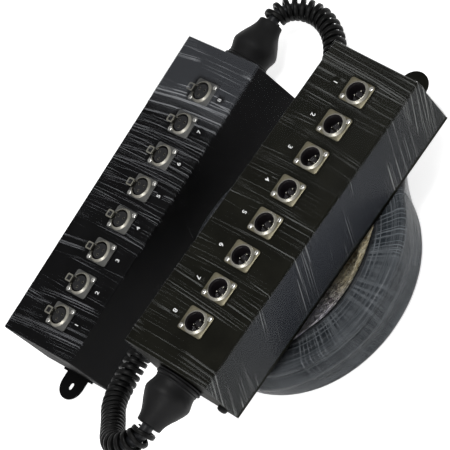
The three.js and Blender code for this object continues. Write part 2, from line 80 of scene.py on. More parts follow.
# Routes of the leads, as in the source, in millimetres
STAGE_ROUTE = [
    (0.7, 245, 37.4), (4.2, 252.8, 35), (11, 260, 30.4), (21, 264.5, 24.6), (33, 265.5, 19),
    (46, 262, 15.5), (58, 255.5, 13.6), (69, 246.5, 13.2), (78, 236, 13.2), (84.5, 223, 13.2),
    (88.5, 208, 13.2), (90, 185, 12.3), (89.3, 170, 10.6), (88.2, 155, 8.8), (86.8, 138, 7.2),
    (85.2, 112, 6.4), (84, 84, 6.3), (83, 58, 6.3),
]
DESK_ROUTE = [
    (234.6, -207.5, 117), (230.8, -215, 117.5), (224, -221.5, 117), (214.5, -226, 114.8),
    (203, -227, 110.5), (190, -223.5, 103), (175, -215.5, 93.5), (160, -206.5, 85),
    (146.5, -197, 79), (136, -185, 73.5), (129.3, -169.5, 68.8), (125.8, -153, 66.8),
    (125.2, -137, 66.8), (129.5, -122, 67), (139, -110, 67), (152.5, -100, 67), (166.5, -89, 67.1),
    (177, -76.5, 67),
    (184, -61, 66), (188, -44, 64.6), (190, -22, 62.8), (190.5, 8, 61.4), (190, 40, 60.9),
    (189, 72, 60.8), (188.5, 100, 60.9), (189.5, 126, 60.8), (195, 150, 57.5), (208, 166, 53.5),
    (227, 174.5, 50), (248, 171, 48), (265.5, 156, 47.2), (279.5, 135.5, 47.1),
]

# Camera, fitted to the corners of both boxes in the photograph
CAMERA_PLACE = (2.5071, -0.3436, 2.4597)
CAMERA_RIGHT = Vector((0.6398, 0.5310, -0.5556))
CAMERA_UP = Vector((-0.3151, 0.8406, 0.4404))
CAMERA_LENS = 272


def new_object(name, data):
    made = bpy.data.objects.new(name, data)
    bpy.context.scene.collection.objects.link(made)
    return made


def make_camera():
    data = bpy.data.cameras.new("camera")
    data.lens = CAMERA_LENS
    data.clip_start, data.clip_end = 0.1, 20
    back = CAMERA_RIGHT.cross(CAMERA_UP)
    turn = Matrix((CAMERA_RIGHT, CAMERA_UP, back)).transposed()
    camera = new_object("camera", data)
    camera.matrix_world = Matrix.Translation(CAMERA_PLACE) @ turn.to_4x4()
    bpy.context.scene.camera = camera


# Materials, all from nodes

WHITE = (1, 1, 1, 1)
PAINT_ROUGHNESS = (0.55, 0.7)
STREAK_SHIFT = (0.37, 0.53, 0)  # keeps a film's sets of streaks apart
STREAK_EDGE = 0.08  # noise from a streak's edge to its full strength
GATHER_SCALES = (9, 20, 1)
GATHER_RANGE = (0.48, 0.60)
THICK_HAZE = (0.25, 0.5)  # haze over which the film's tint goes from thin to thick
# The eye film's gold is its tint; its pale grey end and its pale creases are painted highlights.
EYE_GOLD = (0.34, 0.27, 0.15), (0.85, 0.74, 0.48), (0.88, 0.81, 0.60)  # dark, light and creased
EYE_LIT_GREY = (0.34, 0.31, 0.42), (0.98, 0.95, 1.0), (0.97, 0.95, 1.0)
EYE_GOLD_FROM = (-0.012, 0.028)  # where its film goes from grey to gold, along Y
FLOOR_GLOW = 0.75
BOX_FILM = {"specular": 0.12, "roughness": 0.32}


class Nodes:
    """The node tree of a material or world while it is built."""

    def __init__(self, owner, shader):
        owner.use_nodes = True
        self.owner, self.tree = owner, owner.node_tree
        self.shader, self.coords = self.tree.nodes[shader], None

    def join(self, socket, value):
        if isinstance(value, bpy.types.NodeSocket):
            self.tree.links.new(value, socket)
        else:
            socket.default_value = value

    def feed(self, made=None, **inputs):
        """Sets inputs of a node, or else of the shader, to values or other nodes' outputs."""
        for name, value in inputs.items():
            self.join((made or self.shader).inputs[name.replace("_", " ")], value)

    def add(self, kind, settings=None, **inputs):
        made = self.tree.nodes.new("ShaderNode" + kind)
        for name, value in (settings or {}).items():
            setattr(made, name, value)
        self.feed(made, **inputs)
        return made

    def noise(self, scale, detail=3.0, stretch=None, distortion=0.0, coords=None):
        """Noise of a scale per metre, stretched by the given factors along the axes."""
        coords = coords or self.coords
        if stretch:
            coords = self.add("Mapping", Vector=coords, Scale=stretch).outputs["Vector"]
        return self.add("TexNoise", Vector=coords, Scale=scale, Detail=detail,
                        Distortion=distortion).outputs["Fac"]

    def blend(self, factor, first, second):
        mix = self.add("Mix", {"data_type": "RGBA"})
        self.join(mix.inputs[0], factor)
        for socket, color in ((mix.inputs[6], first), (mix.inputs[7], second)):
            self.join(socket, color if isinstance(color, bpy.types.NodeSocket) else (*color, 1))
        return mix.outputs[2]

    def spread(self, value, low, high, start=0.0, end=1.0):
        """Maps a value from between low and high to between start and end, and holds it there."""
        made = self.add("MapRange", {"clamp": True}, Value=value, From_Min=low, From_Max=high,
                        To_Min=start, To_Max=end)
        return made.outputs["Result"]

    def maths(self, operation, first, second):
        made = self.add("Math", {"operation": operation})
        self.join(made.inputs[0], first)
        self.join(made.inputs[1], second)
        return made.outputs[0]

    def bump(self, height, strength, distance):
        """Adds a bump of a height in metres to the shader's normal."""
        made = self.add("Bump", Height=height, Strength=strength, Distance=distance)
        self.feed(Normal=made.outputs["Normal"])


def new_look(metallic=0.0, specular=0.5, roughness=0.5):
    look = Nodes(bpy.data.materials.new("look"), "Principled BSDF")
    look.feed(Metallic=metallic, Specular_IOR_Level=specular, Roughness=roughness)
    look.coords = look.add("TexCoord").outputs["Object"]
    return look


def mottled(dark, light, rough, grain, bump_depth, patch=60, **kind):
    """A surface of two near colours in patches, with a fine grain in roughness and bump."""
    look = new_look(**kind)
    patches = look.spread(look.noise(patch, 4), 0.35, 0.65)
    fine = look.noise(grain, 3)
    uneven = look.spread(look.maths("MULTIPLY", patches, fine), 0.1, 0.5, *rough)
    look.feed(Base_Color=look.blend(patches, dark, light), Roughness=uneven)
    look.bump(fine, 0.5, bump_depth)
    return look.owner


def paint_material(dark, dusty):
    """Satin black paint: orange peel, faint dust and fine scuffs."""
    look = new_look(specular=0.07)
    dust = look.spread(look.noise(35, 5), 0.4, 0.75)
    scuffs = look.spread(look.noise(160, 2, stretch=(1, 9, 3)), 0.68, 0.76)
    color = look.blend(dust, dark, dusty)
    color = look.blend(look.maths("MULTIPLY", scuffs, 0.25), color, (0.03, 0.03, 0.03))
    look.feed(Base_Color=color, Roughness=look.spread(dust, 0, 1, *PAINT_ROUGHNESS))
    look.bump(look.noise(500, 1), 0.2, 0.00001)
    return look.owner


def streaks(look, sheet, turn_degrees, scales, low, high):
    """Thin straight streaks along a sheet's first direction, turned a little."""
    turn = (0, 0, radians(turn_degrees))
    turned = look.add("Mapping", Vector=sheet, Rotation=turn).outputs["Vector"]
    return look.spread(look.noise(1, 2, stretch=(*scales, 1), coords=turned), low, high)


def attribute(look, name, output="Fac"):
    return look.add("Attribute", {"attribute_name": name}).outputs[output]


def film_material(thin, thick, line, line_cover, turns, scales, coverage, **kind):
    """Clear stretch film: a haze with denser streaks, which come and go in patches. The streaks'
    lighter line colour is partly the film's own creases and partly painted crease highlights. Its
    attributes:
    sheet, a point's place on the flat film, haze, its cover, and folds, how many streaks gather."""
    look = new_look(**kind)
    sheet, haze = attribute(look, "sheet", "Vector"), attribute(look, "haze")
    folds = attribute(look, "folds")
    crease_lines_and_highlights = 0.0
    for i, turn in enumerate(turns):
        shift = [i * step for step in STREAK_SHIFT]
        place = look.add("Mapping", Vector=sheet, Location=shift).outputs["Vector"]
        gathered = look.maths("ADD", look.noise(1, 2, stretch=GATHER_SCALES, coords=place), folds)
        fine = streaks(look, place, turn, scales, coverage, coverage + STREAK_EDGE)
        fine = look.maths("MULTIPLY", fine, look.spread(gathered, *GATHER_RANGE))
        crease_lines_and_highlights = look.maths("MAXIMUM", crease_lines_and_highlights, fine)
    color = look.blend(look.spread(haze, *THICK_HAZE), thin, thick)
    cover = look.maths("ADD", look.maths("MULTIPLY", crease_lines_and_highlights, line_cover), haze)
    # The lighter line colour: partly the film's creases, partly painted crease highlights
    look.feed(Base_Color=look.blend(crease_lines_and_highlights, color, line), Alpha=cover)
    look.bump(look.maths("ADD", crease_lines_and_highlights, look.noise(70, 2)), 0.4, 0.0003)
    return look.owner


def eye_film_material():
    """Crumpled film across the coil's eye: golden brown, pale grey towards low Y, and pale in its
    creases. The pale grey and the pale creases are painted highlights.
    """
    look = new_look(specular=1.0, roughness=0.16)
    patches = look.spread(look.noise(150, 4), 0.40, 0.58)
    creases_and_highlights = look.spread(look.noise(260, 4, distortion=1.2), 0.46, 0.62)
    along = look.add("SeparateXYZ", Vector=look.coords).outputs["Y"]
    along = look.spread(along, *EYE_GOLD_FROM)
    grey, gold = (look.blend(patches, *tints[:2]) for tints in (EYE_LIT_GREY, EYE_GOLD))
    # Pale creases: painted crease highlights
    pale = look.blend(along, EYE_LIT_GREY[2], EYE_GOLD[2])
    film = look.blend(along, grey, gold)
    look.feed(Base_Color=look.blend(creases_and_highlights, film, pale))
    look.bump(look.maths("ADD", creases_and_highlights, patches), 1.0, 0.0025)
    return look.owner


def ink_material():
    look = new_look(specular=0.3, roughness=0.55)
    worn = look.spread(look.noise(900, 2), 0.35, 0.6)
    look.feed(Base_Color=look.blend(worn, (0.72, 0.72, 0.72), (0.92, 0.92, 0.92)))
    return look.owner


def floor_material():
    """A pale floor that looks white behind the object and keeps its shadow."""
    look = new_look(specular=0.1, roughness=0.9)
    look.feed(Base_Color=look.blend(look.noise(3, 2), (0.88, 0.88, 0.88), (0.92, 0.92, 0.92)))
    rays = look.add("LightPath").outputs
    seen = look.maths("ADD", rays["Is Camera Ray"], rays["Is Glossy Ray"])
    seen = look.maths("MINIMUM", look.maths("ADD", seen, rays["Is Transmission Ray"]), 1)
    glow = look.add("Emission", Color=WHITE, Strength=look.maths("MULTIPLY", seen, FLOOR_GLOW))
    both = look.add("AddShader")
    for socket, source in zip(both.inputs, (look.shader, glow)):
        look.join(socket, source.outputs[0])
    look.feed(look.tree.nodes["Material Output"], Surface=both.outputs[0])
    return look.owner


LOOKS = {
    "stage_paint": paint_material((0.0018, 0.0018, 0.002), (0.0045, 0.0045, 0.005)),
    "desk_paint": paint_material((0.0038, 0.0038, 0.002), (0.0085, 0.0085, 0.0055)),
    "stage_nickel": mottled(
        (0.08, 0.08, 0.076), (0.17, 0.17, 0.162), (0.32, 0.48), 900, 0.00005, metallic=0.85),
    "desk_nickel": mottled(
        (0.10, 0.092, 0.062), (0.22, 0.20, 0.138), (0.34, 0.5), 900, 0.00005, metallic=0.85),
    "rim_metal": mottled(
        (0.34, 0.33, 0.28), (0.52, 0.50, 0.44), (0.34, 0.46), 900, 0.00003, metallic=1.0),
    "bright_steel": mottled(
        (0.62, 0.61, 0.58), (0.78, 0.77, 0.74), (0.16, 0.28), 1500, 0.00002, metallic=1.0),
    "contact_metal": mottled(
        (0.26, 0.25, 0.22), (0.38, 0.36, 0.31), (0.2, 0.3), 1500, 0.00001, metallic=1.0),
    "black_plastic": mottled(
        (0.005, 0.005, 0.006), (0.009, 0.009, 0.010), (0.38, 0.55), 2200, 0.00003),
    # Dark plastic of the male cup's floor and liner; on the shells' bores the same colour is painted
    # shade.
    "liner_and_bore_shade": mottled(
        (0.006, 0.0045, 0.006), (0.012, 0.009, 0.011), (0.35, 0.5), 2200, 0.00003),
    "socket_nose": mottled(
        (0.007, 0.007, 0.008), (0.014, 0.014, 0.015), (0.4, 0.55), 2200, 0.00003, specular=0.3),
    "rubber": mottled(
        (0.0028, 0.0028, 0.003), (0.007, 0.007, 0.0075), (0.5, 0.72), 1200, 0.00003, patch=45,
        specular=0.2),
    "jacket": mottled(
        (0.010, 0.0105, 0.012), (0.019, 0.020, 0.023), (0.36, 0.55), 1300, 0.00005, specular=0.25),
    "spiral": mottled(
        (0.002, 0.002, 0.002), (0.004, 0.004, 0.004), (0.34, 0.5), 900, 0.00003, specular=0.14),
    "eye_film": eye_film_material(),
    # The films' line colours: partly the film's creases, partly painted crease highlights
    "stage_film": film_material(
        thin=(0.10, 0.105, 0.115), thick=(0.105, 0.115, 0.135), line=(0.40, 0.41, 0.43),
        line_cover=0.28, turns=(0, -4, 2), scales=(1.2, 540), coverage=0.555, **BOX_FILM),
    "desk_film": film_material(
        thin=(0.10, 0.105, 0.10), thick=(0.064, 0.070, 0.084), line=(0.34, 0.35, 0.34),
        line_cover=0.20, turns=(0, 3, -2), scales=(1.2, 470), coverage=0.56, **BOX_FILM),
    "coil_film": film_material(
        thin=(0.020, 0.025, 0.030), thick=(0.033, 0.041, 0.049), line=(0.17, 0.185, 0.20),
        line_cover=0.12, turns=(0, 2, 88, 93), scales=(5, 760), coverage=0.50, specular=0.08,
        roughness=0.2),
    "white_ink": ink_material(),
    "pale_floor": floor_material(),
}
for name, material in LOOKS.items():
    material.name = name


# Meshes

def finish_mesh(mesh, sharp_degrees, materials):
    work = bmesh.new()
    work.from_mesh(mesh)
    bmesh.ops.recalc_face_normals(work, faces=work.faces)
    work.to_mesh(mesh)
    work.free()
    for look in materials:
        mesh.materials.append(LOOKS[look])
    mesh.shade_smooth()
    mesh.set_sharp_from_angle(angle=radians(sharp_degrees))
    return mesh


def new_mesh(name, points, faces, materials, sharp_degrees=35, scale=MM):
    mesh = bpy.data.meshes.new(name)
    mesh.from_pydata((np.asarray(points, float) * scale).tolist(), [], faces)
    return finish_mesh(mesh, sharp_degrees, materials)


def rings_to_faces(count, size, closed=False, capped=False):
    """Faces between rings of points. Closed joins the last ring to the first."""
    faces = []
    for i in range(count if closed else count - 1):
        a, b = i * size, (i + 1) % count * size
        faces += [(a + k, a + (k + 1) % size, b + (k + 1) % size, b + k) for k in range(size)]
    if capped:
        faces += [tuple(range(size)), tuple(range((count - 1) * size, count * size))]
    return faces


def joined_mesh(name, parts, materials, sharp_degrees=35):
    """One mesh from (mesh, matrix, material index) rows. Without an index a mesh keeps its own."""
    work = bmesh.new()
    for mesh, matrix, index in parts:
        start = len(work.verts), len(work.faces)
        work.from_mesh(mesh)
        work.verts.ensure_lookup_table()
        work.faces.ensure_lookup_table()
        for vert in work.verts[start[0]:]:
            vert.co = matrix @ vert.co
        for face in work.faces[start[1]:]:
            if index is not None:
                face.material_index = index
    made = bpy.data.meshes.new(name)
    work.to_mesh(made)
    work.free()
    return finish_mesh(made, sharp_degrees, materials)


def turns_round(size):
    return np.arange(size) * tau / size


def circle(radius, height, size):
    turn = turns_round(size)
    return np.stack([radius * np.cos(turn), radius * np.sin(turn), np.full(size, height)], 1)


def lathe(name, profile, materials, size=48, closed=False, capped=True, sharp_degrees=35):
    """A turned piece round Z from (radius, height) rows in millimetres."""
    points = np.concatenate([circle(radius, height, size) for radius, height in profile])
    faces = rings_to_faces(len(profile), size, closed, capped)
    return new_mesh(name, points, faces, materials, sharp_degrees)


def stacked(name, rings):
    """A solid of rings of points, one above the other, in millimetres."""
    faces = rings_to_faces(len(rings), len(rings[0]), capped=True)
    return new_mesh(name, np.concatenate(rings), faces, [])


def block(name, rows, centre_x=0.0):
    """A solid of rectangles, one above the other, from (height, half width, half length) rows."""
    rings = []
    for height, half_x, half_y in rows:
        corners = (half_x, half_y), (-half_x, half_y), (-half_x, -half_y), (half_x, -half_y)
        rings.append([(centre_x + x, y, height) for x, y in corners])
    return stacked(name, rings)


def open_grid(rows, size, closed=False):
    """Faces of a sheet: rows of points that stay open at their ends."""
    return [face for face in rings_to_faces(rows, size, closed) if face[1] % size]


def shifted(x, y, z=0.0):
    """A move in millimetres."""
    return Matrix.Translation(Vector((x, y, z)) * MM)


def add_piece(name, data, place=None, body="root", stands_for=()):
    piece = new_object(name, data)
    if place is not None:
        piece.matrix_world = place
    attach(piece, body)
    if stands_for:
        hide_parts(*stands_for)
    return piece


def evaluated_mesh(thing):
    graph = bpy.context.evaluated_depsgraph_get()
    return bpy.data.meshes.new_from_object(thing.evaluated_get(graph))


def cut(mesh, cutter):
    """The mesh with the cutter's solid taken out of it."""
    piece, tool = new_object("work", mesh), new_object("work", cutter)
    change = piece.modifiers.new("cut", "BOOLEAN")
    change.object, change.operation, change.solver = tool, "DIFFERENCE", "EXACT"
    made = evaluated_mesh(piece)
    for thing in (piece, tool):
        bpy.data.objects.remove(thing)
    return made


# Places of the two boxes, from the record's mounts

MOUNTS = {mount["name"]: mount for mount in frame["record"]["mounts"]}


def box_place(label):
    """A box's own axes: origin at the centre of its base, Y to its gland, Z out of its panel."""
    base, tab = MOUNTS[f"{label}_box_base"], MOUNTS[f"{label}_hanging_tab"]
    up = -Vector(base["axis"]).normalized()
    origin = Vector(base["pos_m"])
    along = origin - Vector(tab["pos_m"])
    along = (along - up * along.dot(up)).normalized()
    turn = Matrix((along.cross(up), along, up)).transposed()
    return Matrix.Translation(origin) @ turn.to_4x4()


PLACES = {label: box_place(label) for label in ROW_X}


def socket_y(number):
    first = FIRST_SOCKET_MARGIN - BOX_LENGTH / 2
    last = BOX_LENGTH / 2 - LAST_SOCKET_MARGIN
    return first + (number - 1) * (last - first) / (len(SOCKETS) - 1)


def panel_place(label, x, y):
    """A place on a box's panel, in millimetres of its own axes."""
    return PLACES[label] @ shifted(x, y, BOX_DEPTH)


# The cable: one curve from boot to boot

COIL_POINTS = 900
LEAD_STEP = 0.003


def catmull_rom(points, per_span=12):
    """A centripetal curve through the points, the same as the source draws."""
    points = np.array(points, float)
    ends = 2 * points[0] - points[1], 2 * points[-1] - points[-2]
    points = np.vstack([ends[0], points, ends[1]])
    share = (np.arange(per_span) / per_span)[:, None]
    path = []
    for a, b, c, d in zip(points, points[1:], points[2:], points[3:]):
        before, span, after = (sqrt(np.linalg.norm(step)) for step in (b - a, c - b, d - c))
        first = ((b - a) / before - (c - a) / (before + span) + (c - b) / span) * span
        second = ((c - b) / span - (d - b) / (span + after) + (d - c) / after) * span
        square, cube = share ** 2, share ** 3
        path.append((2 * cube - 3 * square + 1) * b + (cube - 2 * square + share) * first
                    + (3 * square - 2 * cube) * c + (cube - square) * second)
    return np.vstack([*path, points[-2][None]])


def evenly(path, step):
    """Points a step apart along a path."""
    far = np.concatenate([[0], np.cumsum(np.linalg.norm(np.diff(path, axis=0), axis=1))])
    marks = np.linspace(0, far[-1], max(2, round(far[-1] / step) + 1))
    return np.stack([np.interp(marks, far, path[:, k]) for k in range(3)], 1)


def coil_loops(turn):
    """Radius and height of the coil's centreline at these turns."""
    per_layer = COIL_TURNS / COIL_LAYERS
    phase = turn % (2 * per_layer)
    inward = np.where(phase < per_layer, phase, 2 * per_layer - phase)
    layer = np.full(len(turn), COIL_LAYERS - 1.0)
    for k in range(1, COIL_LAYERS):
        climbed = np.clip((turn - k * per_layer) / COIL_CLIMB_TURNS + 0.5, 0, 1)
        layer -= climbed * climbed * (3 - 2 * climbed)
    return COIL_RADIUS - COIL_RADIAL_PITCH * inward, CABLE_RADIUS + layer * COIL_LAYER_PITCH


def coil_path():
    turn = np.linspace(0, COIL_TURNS, COIL_POINTS)
    radius, height = coil_loops(turn)
    angle = radians(COIL_START_DEGREES) - tau * turn
    x = COIL_CENTRE[0] + radius * np.cos(angle)
    return np.stack([x, COIL_CENTRE[1] + radius * np.sin(angle), height], 1)


def coil_end(path, last, outward):
    """The point one diameter beyond an end of the coil, along its loop."""
    angle = radians(COIL_START_DEGREES) - (tau * COIL_TURNS if last else 0)
    along = np.array((-sin(angle), cos(angle), 0))
    return path[-1 if last else 0] + along * outward * 2 * CABLE_RADIUS


def lead_path(start, direction, route, end, inward):
    first = [start, start + direction * LEAD_STRAIGHT]
    last = [end - inward * LEAD_STRAIGHT, end]
    return evenly(catmull_rom([*first, *np.array(route) * MM, *last]), LEAD_STEP)


def desk_exit():
    place = PLACES["desk"]
    return np.array(place @ Vector(STAGE_EXIT)), np.array(place.to_3x3() @ Vector((0, 1, 0)))


def unit(vector):
    return vector / np.linalg.norm(vector)


def cable_paths():
    """Both leads, each from its boot to the coil, and the coil from the desk lead's end."""
    coil = coil_path()
    head, foot = coil_end(coil, False, 1), coil_end(coil, True, -1)
    out = np.array((0.0, 1.0, 0.0))
    stage = lead_path(np.array(STAGE_EXIT), out, STAGE_ROUTE, foot, unit(coil[-1] - foot))
    start, direction = desk_exit()
    desk = lead_path(start, direction, DESK_ROUTE, head, unit(coil[0] - head))
    return stage, coil, desk


def make_cable(stage, coil, desk):
    """One tube, which reaches a little way into each boot."""
    starts = [lead[0] - unit(lead[1] - lead[0]) * INSIDE_BOOT for lead in (stage, desk)]
    points = np.vstack([starts[0], stage, coil[::-1], desk[::-1], starts[1]])
    data = bpy.data.curves.new("multicore", "CURVE")
    data.dimensions = "3D"
    data.bevel_depth, data.bevel_resolution, data.use_fill_caps = CABLE_RADIUS, 6, True
    line = data.splines.new("POLY")
    line.points.add(len(points) - 1)
    line.points.foreach_set("co", np.hstack([points, np.ones((len(points), 1))]).ravel())
    data.materials.append(LOOKS["jacket"])
    return add_piece("multicore", data,
                     stands_for=("stage_lead", "cable_coil", "desk_lead"))


# Spiral bend protectors: a rounded band wound round each lead

CURL_STEPS = 26
TRACE_STEP = 0.0005
BAND_WIDTH = 0.0053
BAND_THICKNESS = 0.0042
BAND_SIDES = 12
BAND_FULLNESS = 0.62  # 1 is an ellipse, less is squarer
TAPER_RATE = 5  # per curl, at both ends of the band
TAPER_LEAST = 0.35


def carried_frames(path):
    """Two directions square to a path at each point, carried along it without twist."""
    tangents = np.gradient(path, axis=0)
    tangents /= np.linalg.norm(tangents, axis=1)[:, None]
    helper = np.zeros(3)
    least = np.flatnonzero(np.abs(tangents[0]) <= np.abs(tangents[0]).min() + 1e-9)[-1]
    helper[least] = 1
    normal = np.cross(tangents[0], unit(np.cross(tangents[0], helper)))
    normals = []
    for tangent in tangents:
        normal = unit(normal - tangent * (normal @ tangent))
        normals.append(normal)
    normals = np.array(normals)
    return tangents, normals, np.cross(tangents, normals)


def band_section():
    """The band's rounded section: offsets along the lead and away from it."""
    turn = turns_round(BAND_SIDES) + pi / BAND_SIDES
    return [np.sign(share) * np.abs(share) ** BAND_FULLNESS * size / 2
            for share, size in ((np.cos(turn), BAND_WIDTH), (np.sin(turn), BAND_THICKNESS))]


def make_spiral(label, lead):
    path = evenly(lead, TRACE_STEP)
    curls = SPIRAL_CURLS[label]
    turns = np.arange(curls * CURL_STEPS + 1) / CURL_STEPS
    along = SPIRAL_START + turns * SPIRAL_PITCH
    index = np.minimum(along / np.linalg.norm(path[1] - path[0]), len(path) - 2)
    low = index.astype(int)
    part = (index - low)[:, None]
    rows = (path, *carried_frames(path))
    centre, tangent, normal, side = (row[low] * (1 - part) + row[low + 1] * part for row in rows)
    angle = tau * turns[:, None]
    away = normal * np.cos(angle) + side * np.sin(angle)
    width, thickness = band_section()
    taper = np.clip(np.minimum(turns, curls - turns) * TAPER_RATE, TAPER_LEAST, 1)[:, None, None]
    rings = (centre + away * SPIRAL_RADIUS)[:, None]
    rings = rings + tangent[:, None] * width[None, :, None] * taper
    rings = rings + away[:, None] * thickness[None, :, None] * (0.6 + 0.4 * taper)
    faces = rings_to_faces(len(rings), len(width), capped=True)
    name = f"{label}_bend_protector"
    mesh = new_mesh(name, rings.reshape(-1, 3), faces, ["spiral"], 60, scale=1)
    return add_piece(name, mesh, stands_for=(f"{label}_spiral",))


# Boots

BOOT_OUTLINE = [  # along the boot and its radius, in millimetres
    (0.0, 23.4), (0.5, 24.4), (1.4, 25.0), (2.4, 24.8), (3.0, 24.0), (3.6, 24.7), (4.6, 24.9),
    (5.6, 24.6), (6.2, 23.4), (6.9, 22.6), (7.6, 22.9), (8.4, 22.8), (9.2, 22.2), (12.1, 22.4),
    (15.0, 23.1), (18.5, 24.2), (22.0, 25.0), (25.0, 24.6), (28.6, 23.2), (32.0, 21.6), (35.8, 19.8),
    (40.0, 17.4), (44.6, 15.2), (48.0, 14.0), (50.6, 13.5), (53.6, 13.2), (54.6, 12.8), (55.0, 12.0),
    (55.0, 8.0), (54.4, 7.2), (50.0, 7.0), (12.2, 7.0), (12.2, 14.2), (0.0, 14.2),
]
TO_CABLE_END = Matrix.Rotation(-pi / 2, 4, "X")  # turns a piece's Z to its box's Y


def make_boot(label):
    """The bell-shaped boot, turned round the gland's axis."""
    profile = [(radius, along) for along, radius in BOOT_OUTLINE]
    mesh = lathe(f"{label}_bend_boot", profile, ["rubber"], size=72, closed=True, capped=False)
    place = PLACES[label] @ shifted(0, BOX_LENGTH / 2 + SEAT_GAP, GLAND_HEIGHT) @ TO_CABLE_END
    return add_piece(f"{label}_bend_boot", mesh, place, stands_for=(f"{label}_boot",))


# Sockets, in millimetres of the socket's own axes: origin on its axis at the panel's face

RING = 144
FLANGE_ACROSS = 31
FLANGE_ALONG = 26
FLANGE_CORNER = 2.6
FLANGE_SCREWS = ((12, 9.5), (-12, -9.5))
FEMALE_SHIFT = 1.6
BARREL_RADIUS = 11.6
BARREL_FOOT = -19
INSERT_FOOT = -17
RIM_FOOT = 12.9
SCREW_INDEX = 1
BORE_INDEX = 2
RIM_INDEX = 3
PANEL_RING = 7  # ring on the flange round the rim's foot, and first that a window lowers
RIM_RING = 8  # ring where the rim starts
SLOT_RING = 12  # first ring that the tab's slot cuts
FEMALE_DARK_RING = 17  # rings from which the bores are painted dark, as painted shade in the recess
MALE_DARK_RING = 14
CROSS_WIDTH = 0.55
CROSS_LENGTH = 2.6
CONTACT_DEGREES = (150, 30, 270)
CONTACT_CIRCLE = 4.4
PIN_TIP = -2.1
LATCH_WINDOW_HALF = 4.65
LATCH_SLOT_HALF = 3.45
LATCH_SLOT_RADIUS = 11.45
LATCH_CENTRE_X = -14.7
LATCH_HALF_X = 4.5
LATCH_HALF_Y = 4.3
LATCH_CORNER = 1.9
LATCH_STEM_X = -10.6
LATCH_RIB_STEP = 1.5
STILL = Matrix.Identity(4)


def outline_radius(half_x, half_y, corner, shift):
    """How far a rounded rectangle's edge is from the socket's axis, for each direction."""
    turn = turns_round(RING)
    near, far = np.zeros(RING), np.full(RING, 40.0)
    for _ in range(40):
        middle = (near + far) / 2
        x = np.abs(middle * np.cos(turn) - shift) - (half_x - corner)
        y = np.abs(middle * np.sin(turn)) - (half_y - corner)
        past_corner = np.hypot(np.maximum(x, 0), np.maximum(y, 0))
        outside = past_corner + np.minimum(np.maximum(x, y), 0) > corner
        near, far = np.where(outside, near, middle), np.where(outside, middle, far)
    return near


def flange_ring(inset, height, shift):
    half_x, half_y = FLANGE_ACROSS / 2 - inset, FLANGE_ALONG / 2 - inset
    radius = outline_radius(half_x, half_y, max(FLANGE_CORNER - inset, 0.3), shift)
    return radius, np.full(RING, float(height))


def plain_ring(radius, height):
    return np.full(RING, float(radius)), np.full(RING, float(height))


def shell_rings(rim, shift):
    """Rings from the barrel's foot, out round the flange, over the rim and down the bore."""
    top = flange_ring(0.45, PANEL_TOP, shift)
    foot = np.minimum(RIM_FOOT, top[0] - 0.1), top[1] + 0.02
    edge = [(0.3, SEAT_GAP), (0, 0.55), (0, 1.5), (0.13, 1.76)]
    return [
        plain_ring(BARREL_RADIUS, BARREL_FOOT), plain_ring(BARREL_RADIUS, SEAT_GAP),
        *(flange_ring(inset, height, shift) for inset, height in edge), top, foot,
        *(plain_ring(radius, height) for radius, height in rim)]


MALE_RIM = [
    (12.95, 1.98), (12.85, 2.1), (12.1, 2.75), (11.3, 3.42), (10.85, 3.78), (10.6, 3.9), (10.4, 3.9),
    (10.2, 3.75), (10.05, 3.4), (10.0, BARREL_FOOT),
]
FEMALE_RIM = [
    (12.5, 2.1), (12.35, 2.4), (11.6, 3.15), (10.8, 3.9), (10.6, 4.12), (10.35, 4.15), (10.15, 4.1),
    (10.05, 3.9), (10.0, 3.5), (10.0, 1.9), (10.0, BARREL_FOOT),
]


def open_for_latch(rings):
    """Takes the rim away at the release tab's window and cuts the tab's slot into the bore."""
    turn = turns_round(RING)
    facing = np.cos(turn) < 0
    opened = []
    for i, (radius, height) in enumerate(rings):
        across = np.abs(radius * np.sin(turn))
        if i >= PANEL_RING:
            window = facing & (across < LATCH_WINDOW_HALF)
            height = np.where(window, np.minimum(height, PANEL_TOP + 0.01), height)
        if i >= SLOT_RING:
            radius = np.where(facing & (across < LATCH_SLOT_HALF), LATCH_SLOT_RADIUS, radius)
        opened.append((radius, height))
    return opened


def make_shell_mesh(name, rings, dark_ring):
    """The shell, whose bore is painted dark from one ring on: painted shade in the recess."""
    points = [circle(radius, height, RING) for radius, height in rings]
    faces = rings_to_faces(len(rings), RING, closed=True)
    mesh = new_mesh(name, np.concatenate(points), faces, [], 32)
    for i, face in enumerate(mesh.polygons):
        if RIM_RING <= i // RING < len(rings) - 1:
            face.material_index = RIM_INDEX if i // RING < dark_ring else BORE_INDEX
    return mesh


def make_screw_mesh():
    """A low domed screw head with a cross recess."""
    dome = [(2.6, 1.5), (2.6, 2.15), (2.35, 2.5), (1.9, 2.75), (1.2, 2.88), (0.4, 2.9)]
    dome = lathe("screw", dome, [])
    for width, length in ((CROSS_WIDTH, CROSS_LENGTH), (CROSS_LENGTH, CROSS_WIDTH)):
        x, y = width / 2, length / 2
        dome = cut(dome, block("bar", [(2.2, 0.7 * x, 0.7 * y), (3.2, x, y)]))
    return dome


def shell_with_screws(name, rings, look, shift, screw, dark_ring):
    parts = [(make_shell_mesh(name, rings, dark_ring), STILL, None)]
    parts += [(screw, shifted(x + shift, y), SCREW_INDEX) for x, y in FLANGE_SCREWS]
    return joined_mesh(name, parts, [look, "bright_steel", "liner_and_bore_shade", "rim_metal"], 32)


def contact_places():
    angles = [radians(degrees) for degrees in CONTACT_DEGREES]
    return [shifted(cos(a) * CONTACT_CIRCLE, sin(a) * CONTACT_CIRCLE) for a in angles]


